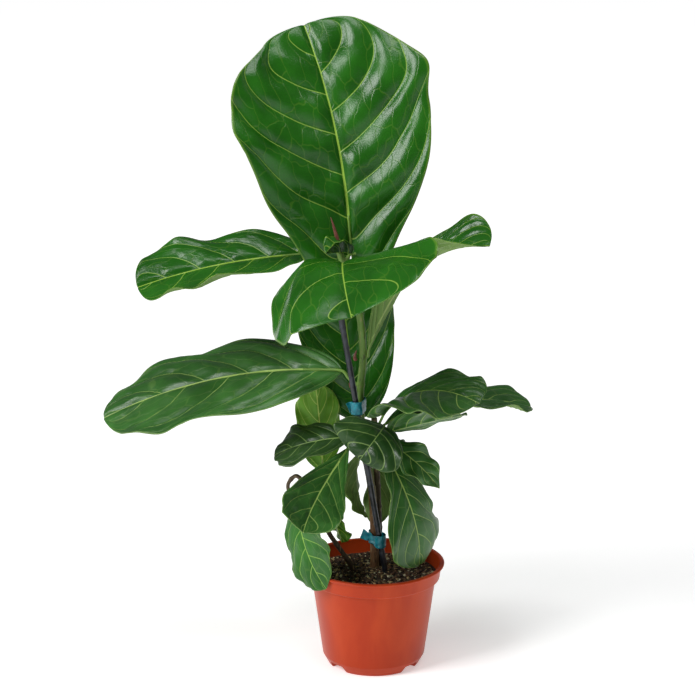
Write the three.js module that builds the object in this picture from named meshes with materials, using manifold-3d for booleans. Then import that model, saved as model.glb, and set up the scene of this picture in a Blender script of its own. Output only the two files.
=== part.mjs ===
// Potted fiddle leaf fig: a staked young tree in a six inch nursery pot.
// Millimetres, +Z up. The origin is the middle of the pot's underside, and -Y is the front.

import * as THREE from 'three';
import { ParametricGeometry } from 'three/addons/geometries/ParametricGeometry.js';
import { mergeVertices } from 'three/addons/utils/BufferGeometryUtils.js';
import Module from 'manifold-3d';

const wasm = await Module();
wasm.setup();

const gap = 0.3; // left between pieces that touch

// ---------- driving dimensions ----------

const pot = {
  height: 114,
  rimRadius: 76.5, // outside of the lip
  lipHeight: 2.6,
  bandRadius: 73.5, // outside of the rim band, under the lip
  bandFootRadius: 71.5,
  bandHeight: 17,
  shoulderRadius: 67, // outside of the wall, under the band
  heelRadius: 55.5, // outside of the wall where it turns in to the foot
  heelHeight: 11,
  footRadius: 49.5,
  wall: 1.6,
  floor: 2,
  sides: 40,
};

const drain = {
  count: 4,
  firstAngle: 50, // degrees from the front
  width: 20,
  height: 7.5,
  innerRadius: 38,
  holeRadius: 3.5,
  holeAt: 44, // from the pot's axis
};

const soil = { edgeHeight: 99, moundHeight: 106, sides: 36 };

const stake = {
  radius: 3.6,
  foot: [29, -12, 8],
  top: [-42, -12, 428],
  sides: 12,
};

// Stems run through these points, and taper from the first radius to the second.
const stems = {
  main_stem: {
    radii: [4.6, 3.6],
    points: [[1, 2, 62], [1, 2, 103], [-1.5, 2, 185], [-12, 3.6, 250], [-15, 2, 300], [-12, 2, 342],
      [-16, 2, 390], [-27, 2, 425], [-37, 2, 456]],
    colour: 0x6f8a3a,
  },
  side_stem: {
    radii: [3.8, 3.2],
    points: [[13, 14, 62], [8, 13, 105], [5, 12, 160], [3, 9, 215], [1, 4, 250], [0, 2, 274]],
    colour: 0x4a3a24,
  },
  left_stem: {
    radii: [2.7, 1.9],
    points: [[-12, -4, 66], [-22, -8, 106], [-48, -12, 149], [-63, -12, 181], [-74, -10, 203],
      [-83, -9, 213], [-91, -8, 206], [-92, -8, 198], [-88, -8, 192]],
    colour: 0x5a4a2a,
  },
};
const stemSides = 8;

// Each tie is a band of tape round the main stem and the stake at a height, with a loose tail.
const tape = { width: 14, thickness: 0.8, slack: 1.9, tail: 9 };
const ties = {
  upper_tie: { height: 290, tailAngle: 196, tailDroop: 24 },
  lower_tie: { height: 141, tailAngle: 176, tailDroop: -20 },
};

// Papery sheaths that taper to a point.
const sheaths = {
  terminal_bud: { radius: 3, points: [[-37.4, 2, 457], [-39, 1, 468], [-42, 0, 480], [-46, -1, 493]] },
  upper_stipule: { radius: 1.9, points: [[-20, 2.5, 338], [-20.5, 1, 343], [-19, -1, 350]] },
  lower_stipule: { radius: 1.9, points: [[-20.5, -2, 303.5], [-24.5, -3.5, 309], [-27, -5, 315]] },
};

// ---------- leaves ----------

// Each leaf grows from the stem named, at that height. azimuth is the way that it points, 0 along +X and
// -90 to the front. pitch is its slope at the base and roll its tilt, left side up. lean, droop, sway and
// twist turn it in its own plane, down, sideways and about its midrib, and the last three add up along the
// blade, evenly or late. fold and cup turn up the left and right halves. width is the whole blade's.
// widest, full, lobe, lead, ear and skew shape the flat outline.
const leafDefaults = {
  petiole: 12, petiolePitch: null, petioleAzimuth: null, lean: 0, droop: 30, late: 1, sway: 0, twist: 0,
  roll: 0, fold: 8, cup: [10, 10], wave: 3, waves: 3, phase: 0,
  widest: 1.4, full: 0.6, lobe: 0.08, lead: 0.15, ear: 0.05, skew: 0, colour: 0x2f6b2c,
};

const leaves = {
  crown_leaf: {
    stem: 'main_stem', height: 446, azimuth: 86, petioleAzimuth: 58, petiolePitch: 30, petiole: 15,
    pitch: 88, lean: 2, length: 248, width: 214, droop: 27, late: 0.85, sway: 16, twist: 5, roll: 9,
    fold: 9, cup: [12, 5], wave: 4, widest: 1.16, full: 0.44, lobe: 0, lead: 0.08, ear: 0.12,
  },
  upper_left_leaf: {
    stem: 'main_stem', height: 438, azimuth: 162, pitch: 5, petiole: 38, lean: 15, length: 186, width: 110,
    droop: 4, sway: 20, twist: -9, roll: -33, cup: [50, -30], wave: 7, widest: 1.47, full: 0.46,
    lead: 0.1, ear: 0.1, skew: 0.14,
  },
  front_leaf: {
    stem: 'main_stem', height: 430, azimuth: -98, pitch: 35, petiole: 22, lean: 4, length: 173, width: 188,
    droop: 70, late: 0.8, sway: 9, twist: 22, roll: -2, fold: 10, cup: [12, -44], wave: 4, widest: 1.15,
    full: 0.4, lobe: 0, lead: 0.25, skew: 0.06,
  },
  arching_leaf: {
    stem: 'main_stem', height: 342, azimuth: -10, pitch: 72, petiole: 8, length: 200, width: 86, droop: 72,
    late: 1.4, twist: 37, roll: -40, fold: 10, cup: [44, 36], widest: 1.7, full: 0.52, lobe: 0, lead: 0.18,
  },
  back_leaf: {
    stem: 'main_stem', height: 272, azimuth: 94, pitch: 78, petiole: 29, petiolePitch: -15, lean: 8,
    length: 160, width: 106, droop: 8, sway: -4, fold: 0, cup: [-8, 8], widest: 1.1, full: 0.42, lobe: 0,
  },
  long_left_leaf: {
    stem: 'main_stem', height: 312, azimuth: 172, pitch: 4, petiole: 22, petiolePitch: 40, length: 270,
    width: 146, droop: 23, late: 0.8, sway: 22, twist: 13, roll: -40, fold: 0, cup: [25, -30], wave: 6,
    widest: 1.05, full: 0.64, lobe: 0, skew: 0.1,
  },
  right_leaf: {
    stem: 'side_stem', height: 268, azimuth: -24, pitch: 58, petiole: 14, lean: -10, length: 138, width: 96,
    droop: 70, late: 0.8, sway: -20, twist: 12, cup: [-22, 10], wave: 5, widest: 1, full: 0.36,
    lead: 0.18, skew: -0.28,
  },
  far_right_leaf: {
    stem: 'side_stem', height: 260, azimuth: 26, pitch: 34, petiole: 8, lean: -11, length: 172, width: 74,
    droop: 50, late: 0.8, sway: -11, roll: 5, cup: [-15, 13], wave: 4, widest: 1.65, lead: 0.2,
  },
  lower_right_leaf: {
    stem: 'side_stem', height: 254, azimuth: -28, petioleAzimuth: 10, pitch: 22, petiole: 12, length: 94,
    width: 66, droop: 5, roll: -35, twist: 13, fold: 4, cup: [20, 0], widest: 1.1, lead: 0.18,
  },
  round_leaf: {
    stem: 'side_stem', height: 264, azimuth: -105, petioleAzimuth: -50, pitch: 6, petiole: 14, lean: 7,
    length: 60, width: 82, droop: 104, late: 1.4, sway: -13, roll: -27, fold: 0, cup: [8, 2], widest: 1.2,
    full: 0.66, lobe: 0, skew: -0.08,
  },
  lower_left_leaf: {
    stem: 'side_stem', height: 253, azimuth: 191, petioleAzimuth: 213, pitch: 3, petiole: 24,
    petiolePitch: 10, length: 94, width: 64, droop: 52, sway: -10, twist: 9, roll: -38, fold: 0,
    cup: [24, -14], full: 0.72,
    lead: 0.12,
  },
  front_hanging_leaf: {
    stem: 'side_stem', height: 243, azimuth: 231, petioleAzimuth: 217, pitch: -34, petiole: 32,
    petiolePitch: 10, length: 139, width: 72, droop: -28, sway: 20, twist: -15, roll: -20, fold: 2,
    cup: [44, 36], full: 0.74, lobe: 0, lead: 0.2, skew: 0.08,
  },
  wavy_leaf: {
    stem: 'side_stem', height: 248, azimuth: -32, pitch: -15, petiole: 8, length: 82, width: 38, droop: 46,
    sway: -5, twist: 12, roll: 26, fold: 3, cup: [12, 12], wave: 7, widest: 1, full: 1, lobe: 0, lead: 0.04,
  },
  right_hanging_leaf: {
    stem: 'side_stem', height: 240, azimuth: -55, pitch: -48, petiole: 12, lean: 6, length: 140, width: 86,
    droop: 58, late: 1.4, sway: 6, twist: -9, roll: 5, fold: 1, cup: [-36, 0], widest: 1.54, full: 0.75,
    lobe: 0, lead: 0.12,
  },
  small_back_leaf: {
    stem: 'side_stem', height: 236, azimuth: 38, pitch: 5, petiole: 8, length: 48, width: 36, droop: 40,
  },
  inner_left_leaf: {
    stem: 'side_stem', height: 226, azimuth: 150, pitch: -70, petiole: 18, petiolePitch: 10, length: 74,
    width: 42, droop: 56, sway: 11, twist: -22, cup: [0, 15], widest: 1, lobe: 0.2, lead: 0.1,
  },
  inner_right_leaf: {
    stem: 'side_stem', height: 222, azimuth: 68, pitch: -62, petiole: 6, length: 84, width: 24, droop: 37,
    lean: 8, lobe: 0.12,
  },
  left_back_leaf: {
    stem: 'left_stem', height: 200, azimuth: -80, petioleAzimuth: 66, pitch: 88, petiole: 39.5,
    petiolePitch: 12, lean: -3, length: 100, width: 50, droop: 2, sway: -4, wave: 5, widest: 0.95,
  },
  outer_hanging_leaf: {
    stem: 'left_stem', height: 194, azimuth: -157, pitch: -79, petiole: 14, petiolePitch: -30, lean: 16,
    length: 101, width: 72, droop: 11, sway: 37, twist: -9, roll: -18, fold: 1, cup: [21, -25], widest: 1.07,
    full: 0.68, lobe: 0, lead: 0.06, skew: 0.1,
  },
  small_left_leaf: {
    stem: 'left_stem', height: 168, azimuth: 40, pitch: -46, petiole: 8, length: 44, width: 28, droop: 30,
  },
  young_leaf: {
    stem: 'main_stem', height: 451, azimuth: -100, pitch: 50, petiole: 6, length: 22, width: 38, droop: 30,
    fold: 22, cup: [34, 34], wave: 1, widest: 1, lobe: 0,
  },
};
const blade = { thickness: 1.2, rows: 11, columns: 3, steps: 48, overhang: 0.3 };
const petioleTube = { radius: 1.7, sides: 6, steps: 5, intoBlade: 0.12 };

// ---------- solids ----------

const radians = THREE.MathUtils.degToRad;
const vector = (x, y, z) => new THREE.Vector3(x, y, z);

// A three.js geometry as a manifold-3d solid, with its faces pointing out.
function solidOf(geometry) {
  const bare = geometry.index ? geometry.toNonIndexed() : geometry.clone();
  bare.deleteAttribute('normal');
  bare.deleteAttribute('uv');
  const merged = mergeVertices(bare, 1e-3);
  const corners = merged.index.array;
  const triangles = [];
  for (let i = 0; i < corners.length; i += 3) {
    const [a, b, c] = corners.slice(i, i + 3);
    if (a !== b && b !== c && c !== a) triangles.push(a, b, c);
  }
  const build = (list) => new wasm.Manifold(new wasm.Mesh({
    numProp: 3,
    vertProperties: merged.attributes.position.array,
    triVerts: new Uint32Array(list),
  }));
  const solid = build(triangles);
  return solid.volume() > 0 ? solid : build(triangles.reverse());
}

// A solid back as a geometry.
function geometryOf(solid) {
  const mesh = solid.getMesh();
  const geometry = new THREE.BufferGeometry();
  geometry.setAttribute('position', new THREE.BufferAttribute(new Float32Array(mesh.vertProperties), 3));
  geometry.setIndex(new THREE.BufferAttribute(new Uint32Array(mesh.triVerts), 1));
  geometry.computeVertexNormals();
  return geometry;
}

// Points [radius, height] turned about the Z axis.
function turned(profile, sides) {
  const lathe = new THREE.LatheGeometry(profile.map(([r, z]) => new THREE.Vector2(r, z)), sides);
  return solidOf(lathe.rotateX(Math.PI / 2));
}

// A closed surface from a function of (along, around), both from 0 to 1.
// A cell splits along one diagonal, or along the other where flipped says so of its step around.
function closedSurface(place, rows, around, flipped = () => false) {
  const geometry = new ParametricGeometry((u, v, target) => target.copy(place(u, v)), rows, around);
  const corners = geometry.index.array;
  for (let cell = 0; cell < rows * around; cell++) {
    if (!flipped(Math.floor(cell / rows))) continue;
    const [a, b, d, , c] = corners.slice(6 * cell, 6 * cell + 6);
    corners.set([a, b, c, a, c, d], 6 * cell);
  }
  return solidOf(geometry);
}

// A tube of changing radius along a curve, with a point at each end's middle so that it is closed.
function tube(curve, radiusAt, rows, sides) {
  const frames = curve.computeFrenetFrames(rows, false);
  const rowOf = (t) => Math.min(rows, Math.max(0, Math.round(t * (rows + 2)) - 1));
  return closedSurface((t, a) => {
    const row = rowOf(t);
    const inside = t === 0 || t === 1 ? 0 : radiusAt(row / rows);
    const angle = a === 1 ? 0 : 2 * Math.PI * a;
    return curve.getPointAt(row / rows)
      .addScaledVector(frames.normals[row], inside * Math.cos(angle))
      .addScaledVector(frames.binormals[row], inside * Math.sin(angle));
  }, rows + 2, sides);
}

// ---------- stems and stake ----------

const stemCurve = (name) => new THREE.CatmullRomCurve3(stems[name].points.map((p) => vector(...p)));

function stemRadius(name, t) {
  const [foot, tip] = stems[name].radii;
  return THREE.MathUtils.lerp(foot, tip, t);
}

function stemSolid(name, extra = 0) {
  const rows = 2 * stems[name].points.length;
  return tube(stemCurve(name), (t) => stemRadius(name, t) + extra, rows, stemSides);
}

// Where a stem's middle is at a height, on its way up, and its radius there.
function stemAt(name, height) {
  const curve = stemCurve(name);
  let t = 0;
  while (t < 1 && curve.getPointAt(t).z < height) t += 0.002;
  const t1 = Math.min(t, 1);
  return { point: curve.getPointAt(t1), radius: stemRadius(name, t1) };
}

function stakeSolid(extra = 0) {
  const line = new THREE.LineCurve3(vector(...stake.foot), vector(...stake.top));
  return tube(line, () => stake.radius + extra, 3, stake.sides);
}

// ---------- leaves ----------

// The frames along a blade's midrib: where it is, forward, left and up.
function midribFrames(leaf, start) {
  const forward = vector(
    Math.cos(radians(leaf.pitch)) * Math.cos(radians(leaf.azimuth)),
    Math.cos(radians(leaf.pitch)) * Math.sin(radians(leaf.azimuth)),
    Math.sin(radians(leaf.pitch)),
  );
  const left = vector(-Math.sin(radians(leaf.azimuth)), Math.cos(radians(leaf.azimuth)), 0);
  left.applyAxisAngle(forward, radians(leaf.roll));
  const up = forward.clone().cross(left);
  forward.applyAxisAngle(up, radians(leaf.lean));
  left.applyAxisAngle(up, radians(leaf.lean));
  const point = start.clone();
  const frames = [];
  const step = (1 + blade.overhang) / blade.steps;
  for (let i = 0; i <= blade.steps; i++) {
    frames.push({ point: point.clone(), forward: forward.clone(), left: left.clone(), up: up.clone() });
    const s = Math.min(1, (i + 0.5) * step);
    const share = i * step < 1 ? step : 0;
    const droop = radians(leaf.droop) * share * leaf.late * s ** (leaf.late - 1);
    forward.applyAxisAngle(left, droop);
    up.applyAxisAngle(left, droop);
    forward.applyAxisAngle(up, radians(leaf.sway) * share);
    left.applyAxisAngle(up, radians(leaf.sway) * share);
    left.applyAxisAngle(forward, radians(leaf.twist) * share);
    up.crossVectors(forward, left).normalize();
    point.addScaledVector(forward, step * leaf.length);
  }
  return frames;
}

// The margin of the flat blade at t, 0 at the base and 1 at the tip: how far along, and how far out.
function margin(leaf, t, side) {
  const bulge = Math.sin(Math.PI * Math.min(1, t) ** leaf.widest);
  const lobe = Math.sin(Math.PI * Math.min(1, t / 0.4));
  const half = leaf.width / 2 * (1 + side * leaf.skew);
  return {
    along: leaf.length * (t + leaf.lead * Math.sin(Math.PI * t) - leaf.ear * lobe),
    out: half * (Math.max(0, bulge) ** leaf.full + leaf.lobe * lobe),
  };
}

// A point of the blade: t along, v from -1 at the right margin to 1 at the left.
// lift is how far the point is above the middle surface.
function bladePoint(leaf, frames, t, v, lift) {
  const side = Math.sign(v) || 1;
  const share = Math.abs(v);
  const edge = margin(leaf, t, side);
  const along = leaf.length * t + (edge.along - leaf.length * t) * share ** 1.7;
  const out = edge.out * share;
  const place = Math.max(0, along) / leaf.length / (1 + blade.overhang) * blade.steps;
  const step = Math.min(blade.steps, Math.round(place));
  const frame = frames[step];
  const beyond = along - step / blade.steps * leaf.length * (1 + blade.overhang);
  const fold = radians(leaf.fold);
  const turn = radians(leaf.cup[side > 0 ? 0 : 1] || 0.5) / (leaf.width / 2);
  const angle = v === 0 ? 0 : fold + turn * out;
  const across = v === 0 ? 0 : (Math.sin(angle) - Math.sin(fold)) / turn;
  const rise = v === 0 ? 0 : (Math.cos(fold) - Math.cos(angle)) / turn;
  const ripple = leaf.wave * share ** 2.5 * Math.sin(Math.PI * t)
    * Math.sin(2 * Math.PI * (leaf.waves * t + leaf.phase + (side > 0 ? 0 : 0.35)));
  return frame.point.clone()
    .addScaledVector(frame.forward, beyond)
    .addScaledVector(frame.left, side * across - side * lift * Math.sin(angle))
    .addScaledVector(frame.up, rise + ripple + lift * Math.cos(angle));
}

function leafSolid(leaf) {
  const stem = stemAt(leaf.stem, leaf.height);
  const turn = radians(leaf.petioleAzimuth ?? leaf.azimuth);
  const way = vector(Math.cos(turn), Math.sin(turn), 0);
  const pitch = radians(leaf.petiolePitch ?? Math.max(leaf.pitch, 20));
  const foot = stem.point.clone().addScaledVector(way, stem.radius + petioleTube.radius + gap);
  const start = stem.point.clone()
    .addScaledVector(way, stem.radius + leaf.petiole * Math.cos(pitch))
    .add(vector(0, 0, leaf.petiole * Math.sin(pitch)));
  const frames = midribFrames(leaf, start);
  const columns = 2 * blade.columns;
  const around = 2 * columns + 2;
  const skin = closedSurface((t, a) => {
    const step = Math.round(a * around) % around;
    const top = step <= columns;
    const v = top ? step / blade.columns - 1 : 1 - (step - columns - 1) / blade.columns;
    if (t === 0 || t === 1) return bladePoint(leaf, frames, t, 0, 0);
    return bladePoint(leaf, frames, t, v, (top ? 1 : -1) * blade.thickness / 2);
  }, blade.rows, around, (step) => step > columns); // the underside's cells split as the top's above them do
  const into = frames[Math.round(petioleTube.intoBlade * blade.steps)];
  const curve = new THREE.CatmullRomCurve3([
    foot,
    foot.clone().lerp(start, 0.5).add(vector(0, 0, -0.06 * leaf.petiole)),
    start.clone().addScaledVector(frames[0].up, -0.6),
    into.point.clone().addScaledVector(into.up, -0.6),
  ]);
  const stalk = tube(curve, (t) => petioleTube.radius * (1 - 0.5 * t), petioleTube.steps, petioleTube.sides);
  return skin.add(stalk);
}

const colours = { stake: 0x1d2026, tape: 0x0f7f8f, pot: 0xc4502e, soil: 0x2a1a12, sheath: 0x7a3b35 };

// ---------- ties and sheaths ----------

const stakeAt = (height) => {
  const along = (height - stake.foot[2]) / (stake.top[2] - stake.foot[2]);
  return vector(...stake.foot).lerp(vector(...stake.top), along);
};

// The outline of a band round two posts, as far out as radius from each middle.
function stadium(a, b, radius, kind) {
  const heading = Math.atan2(b.y - a.y, b.x - a.x);
  const outline = new kind();
  for (let i = 0; i <= 8; i++) {
    const angle = heading + Math.PI / 2 + Math.PI * i / 8;
    const [x, y] = [a.x + radius * Math.cos(angle), a.y + radius * Math.sin(angle)];
    if (i) outline.lineTo(x, y);
    else outline.moveTo(x, y);
  }
  for (let i = 0; i <= 8; i++) {
    const angle = heading - Math.PI / 2 + Math.PI * i / 8;
    outline.lineTo(b.x + radius * Math.cos(angle), b.y + radius * Math.sin(angle));
  }
  outline.closePath();
  return outline;
}

function tieSolid(tie) {
  const stem = stemAt('main_stem', tie.height);
  const post = stakeAt(tie.height);
  const inner = Math.max(stem.radius, stake.radius) + tape.slack;
  const shape = stadium(stem.point, post, inner + tape.thickness, THREE.Shape);
  shape.holes.push(stadium(stem.point, post, inner, THREE.Path));
  const band = new THREE.ExtrudeGeometry(shape, { depth: tape.width, bevelEnabled: false });
  band.translate(0, 0, tie.height - tape.width / 2);
  const tail = new THREE.BoxGeometry(tape.tail, tape.thickness, tape.width * 0.8);
  tail.translate(tape.tail / 2 + inner + 0.2, 0, 0);
  tail.rotateY(radians(tie.tailDroop)).rotateZ(radians(tie.tailAngle));
  tail.translate(stem.point.x, stem.point.y - inner * 0.3, tie.height);
  return solidOf(band).add(solidOf(tail));
}

function sheathSolid(sheath) {
  const curve = new THREE.CatmullRomCurve3(sheath.points.map((p) => vector(...p)));
  return tube(curve, (t) => sheath.radius * (1 - t) ** 0.7 + 0.35, 6, 8);
}

// ---------- pot and soil ----------

// Points of the pot's outside, or of its inside when inset by the wall.
function potOutline(inset, floor, brim) {
  const shoulder = pot.height - pot.bandHeight;
  return [
    [0, floor],
    [pot.footRadius - inset, floor],
    [pot.heelRadius - inset, pot.heelHeight],
    [pot.shoulderRadius - inset, shoulder - 2 + inset],
    [pot.bandFootRadius - inset, shoulder + inset],
    [pot.bandRadius - inset, brim],
  ];
}

function potOutside() {
  const lipFoot = pot.height - pot.lipHeight;
  return turned([
    ...potOutline(0, 0, lipFoot),
    [pot.rimRadius - 0.6, lipFoot],
    [pot.rimRadius, lipFoot + 0.8],
    [pot.rimRadius, pot.height - 0.8],
    [pot.rimRadius - 0.8, pot.height],
    [0, pot.height],
  ], pot.sides);
}

// The pot's inside, shrunk by an extra clearance and filled up to a height.
function potInside(extra, height) {
  return turned([...potOutline(pot.wall + extra, pot.floor + extra, height), [0, height]], pot.sides);
}

// Where a drain lies round the pot: two at the front and two behind.
function drainAngle(i) {
  const mirrored = i % 2 ? 180 - 2 * drain.firstAngle : 0;
  return radians(-90 + drain.firstAngle + mirrored + (i > 1 ? 180 : 0));
}

// Channels under the foot that let the water out, made larger by extra.
function drainChannels(extra) {
  const size = [2 * pot.footRadius, drain.width + 2 * extra, 2 * (drain.height + extra)];
  let all = null;
  for (let i = 0; i < drain.count; i++) {
    const channel = new THREE.BoxGeometry(...size);
    channel.translate(drain.innerRadius - extra + pot.footRadius, 0, 0);
    channel.rotateZ(drainAngle(i));
    all = all ? all.add(solidOf(channel)) : solidOf(channel);
  }
  return all;
}

function drainHoles() {
  let all = null;
  for (let i = 0; i < drain.count; i++) {
    const angle = drainAngle(i);
    const hole = new THREE.CylinderGeometry(drain.holeRadius, drain.holeRadius, 2 * drain.height, 12);
    hole.rotateX(Math.PI / 2);
    hole.translate(drain.holeAt * Math.cos(angle), drain.holeAt * Math.sin(angle), drain.height);
    all = all ? all.add(solidOf(hole)) : solidOf(hole);
  }
  return all;
}

function potSolid() {
  const inside = potInside(0, pot.height + 1).subtract(drainChannels(pot.wall));
  return potOutside().subtract(drainChannels(0)).subtract(inside).subtract(drainHoles());
}

function soilSolid() {
  const edge = pot.bandRadius;
  const above = turned([
    [0, soil.moundHeight], [18, soil.moundHeight - 0.6], [38, (soil.moundHeight + soil.edgeHeight) / 2],
    [edge, soil.edgeHeight], [edge, pot.height + 5], [0, pot.height + 5],
  ], pot.sides);
  let filling = potInside(gap, pot.height).subtract(drainChannels(pot.wall + gap)).subtract(above);
  for (const name of Object.keys(stems)) {
    const room = stemSolid(name, gap);
    filling = filling.subtract(room.add(room.translate([0, 0, -gap])));
  }
  const room = stakeSolid(gap);
  return filling.subtract(room.add(room.translate([0.05, 0, -gap])));
}

// ---------- the plant ----------

const figures = [['pot', potSolid(), colours.pot], ['soil', soilSolid(), colours.soil]];
figures.push(['stake', stakeSolid(), colours.stake]);
for (const name of Object.keys(stems)) figures.push([name, stemSolid(name), stems[name].colour]);
for (const name of Object.keys(ties)) figures.push([name, tieSolid(ties[name]), colours.tape]);
for (const name of Object.keys(sheaths)) figures.push([name, sheathSolid(sheaths[name]), colours.sheath]);
for (const [name, given] of Object.entries(leaves)) {
  figures.push([name, leafSolid({ ...leafDefaults, ...given }), given.colour ?? leafDefaults.colour]);
}

const plant = new THREE.Group();
for (const [name, solid, colour] of figures) {
  const material = new THREE.MeshStandardMaterial({ color: colour, roughness: 0.6 });
  const mesh = new THREE.Mesh(geometryOf(solid), material);
  mesh.name = name;
  plant.add(mesh);
}

export default plant;
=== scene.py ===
# A staked young fiddle leaf fig in its nursery pot. Lengths in the dictionaries are millimetres.
import math
import random

import bmesh
import bpy
from mathutils import Matrix, Vector, noise


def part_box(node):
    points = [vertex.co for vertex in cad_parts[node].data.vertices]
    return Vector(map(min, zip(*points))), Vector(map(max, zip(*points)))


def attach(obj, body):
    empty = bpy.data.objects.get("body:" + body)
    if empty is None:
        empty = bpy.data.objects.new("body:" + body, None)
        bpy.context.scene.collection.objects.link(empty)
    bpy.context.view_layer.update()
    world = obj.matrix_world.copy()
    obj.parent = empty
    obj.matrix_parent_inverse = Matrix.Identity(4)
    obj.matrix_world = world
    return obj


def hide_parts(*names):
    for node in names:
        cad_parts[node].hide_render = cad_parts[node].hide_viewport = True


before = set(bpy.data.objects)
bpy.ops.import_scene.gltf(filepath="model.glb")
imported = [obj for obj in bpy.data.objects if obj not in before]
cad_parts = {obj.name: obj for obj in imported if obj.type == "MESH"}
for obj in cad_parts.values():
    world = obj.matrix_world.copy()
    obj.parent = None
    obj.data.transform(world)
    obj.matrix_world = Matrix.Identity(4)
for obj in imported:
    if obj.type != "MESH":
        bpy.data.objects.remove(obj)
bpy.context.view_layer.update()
mm = 0.001
print("frame loaded")


def toLinear(hexColour):
    channels = [int(hexColour[i:i + 2], 16) / 255 for i in (1, 3, 5)]
    return tuple(c / 12.92 if c <= 0.04045 else ((c + 0.055) / 1.055) ** 2.4 for c in channels) + (1.0,)


# adds a node: inputs holds values or the sockets that feed it, and the rest are the node's own settings
def addNode(tree, kind, inputs=None, **settings):
    node = tree.nodes.new(kind)
    for key, value in settings.items():
        setattr(node, key, value)
    for key, value in (inputs or {}).items():
        if isinstance(value, bpy.types.NodeSocket):
            tree.links.new(value, node.inputs[key])
        else:
            node.inputs[key].default_value = value
    return node


def startMaterial(name):
    material = bpy.data.materials.new(name)
    material.use_nodes = True
    tree = material.node_tree
    tree.nodes.clear()
    shader = addNode(tree, "ShaderNodeBsdfPrincipled")
    addNode(tree, "ShaderNodeOutputMaterial", {"Surface": shader.outputs[0]})
    return material, tree, shader


# A material whose two colours and relief follow one noise. scale is 1000 over a size in millimetres on Object
# coordinates, or how often it repeats on the UV map. low and high are the noise's edges between the colours,
# dullRise is how much duller the high places are, and bump is a strength and a depth in millimetres.
def grainMaterial(name, given):
    grain = {
        "along": "Object", "stretch": (1, 1, 1), "distortion": 0.0, "dullRise": 0.0, "bump": None, **given,
    }
    material, tree, shader = startMaterial(name)
    place = addNode(tree, "ShaderNodeTexCoord").outputs[grain["along"]]
    place = addNode(tree, "ShaderNodeMapping", {"Vector": place, "Scale": grain["stretch"]}).outputs[0]
    spots = addNode(tree, "ShaderNodeTexNoise", {
        "Vector": place, "Scale": grain["scale"], "Detail": grain["detail"], "Distortion": grain["distortion"],
    }).outputs[0]
    share = addNode(tree, "ShaderNodeMapRange", {
        "Value": spots, "From Min": grain["low"], "From Max": grain["high"],
    }, interpolation_type="SMOOTHSTEP").outputs[0]
    colour = addNode(tree, "ShaderNodeMix", {
        0: share, 6: toLinear(grain["dark"]), 7: toLinear(grain["pale"]),
    }, data_type="RGBA").outputs[2]
    tree.links.new(colour, shader.inputs["Base Color"])
    shader.inputs["Roughness"].default_value = grain["dull"]
    if grain["dullRise"]:
        dull = addNode(tree, "ShaderNodeMath", {
            0: spots, 1: grain["dullRise"], 2: grain["dull"],
        }, operation="MULTIPLY_ADD").outputs[0]
        tree.links.new(dull, shader.inputs["Roughness"])
    if grain["bump"]:
        relief = addNode(tree, "ShaderNodeBump", {
            "Height": spots, "Strength": grain["bump"][0], "Distance": grain["bump"][1] * mm,
        })
        tree.links.new(relief.outputs[0], shader.inputs["Normal"])
    return material


# a finished piece from a bmesh in metres, smooth, riding on the plant and standing for its CAD nodes
def finishPiece(name, mesh, materials, nodes=()):
    data = bpy.data.meshes.new(name)
    for face in mesh.faces:
        face.smooth = True
    mesh.to_mesh(data)
    mesh.free()
    piece = bpy.data.objects.new(name, data)
    bpy.context.scene.collection.objects.link(piece)
    for material in materials:
        data.materials.append(material)
    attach(piece, "root")
    if nodes:
        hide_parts(*nodes)
    return piece


# a curve through points, as count places along it
def smoothPath(points, count):
    ends = [2 * points[0] - points[1], *points, 2 * points[-1] - points[-2]]
    places = []
    for i in range(count + 1):
        along = i / count * (len(points) - 1)
        k = min(int(along), len(points) - 2)
        t = along - k
        a, b, c, d = ends[k:k + 4]
        places.append(0.5 * (2 * b + (c - a) * t + (2 * a - 5 * b + 4 * c - d) * t * t
                             + (3 * b - 3 * c + d - a) * t ** 3))
    return places


# a closed tube along a path: radiusAt(share, angle) is in metres
def sweep(path, radiusAt, sides):
    rows = len(path) - 1
    mesh = bmesh.new()
    mesh.loops.layers.uv.new("UVMap")
    bmesh.ops.create_grid(mesh, x_segments=rows + 2, y_segments=sides, size=1, calc_uvs=True)
    tangents = [(path[min(rows, i + 1)] - path[max(0, i - 1)]).normalized() for i in range(rows + 1)]
    across = tangents[0].orthogonal().normalized()
    frames = []
    for tangent in tangents:
        across = (across - tangent * across.dot(tangent)).normalized()
        frames.append((across.copy(), tangent.cross(across)))
    for vert in mesh.verts:
        row = round((vert.co.x + 1) / 2 * (rows + 2)) - 1
        capped = row < 0 or row > rows
        row = min(rows, max(0, row))
        side = round((vert.co.y + 1) / 2 * sides) % sides
        angle = 2 * math.pi * side / sides
        radius = 0 if capped else radiusAt(row / rows, angle)
        one, two = frames[row]
        vert.co = path[row] + one * (radius * math.cos(angle)) + two * (radius * math.sin(angle))
    bmesh.ops.remove_doubles(mesh, verts=mesh.verts, dist=1e-6)
    bmesh.ops.recalc_face_normals(mesh, faces=mesh.faces)
    return mesh


def boxCentre(low, high):
    return (Vector(low) + Vector(high)) / 2


view = {"lens": 117.5, "sensor": 36, "aim": (-28.5, 0, 352.6), "distance": 2400, "down": 14.5}
down = math.radians(view["down"])
aim = Vector(view["aim"]) * mm
away = Vector((0, -math.cos(down), math.sin(down))) * view["distance"] * mm
cameraData = bpy.data.cameras.new("camera")
cameraData.lens = view["lens"]
cameraData.sensor_width = view["sensor"]
camera = bpy.data.objects.new("camera", cameraData)
camera.location = aim + away
camera.rotation_euler = (-away).to_track_quat("-Z", "Y").to_euler()
bpy.context.scene.collection.objects.link(camera)
bpy.context.scene.camera = camera


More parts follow.
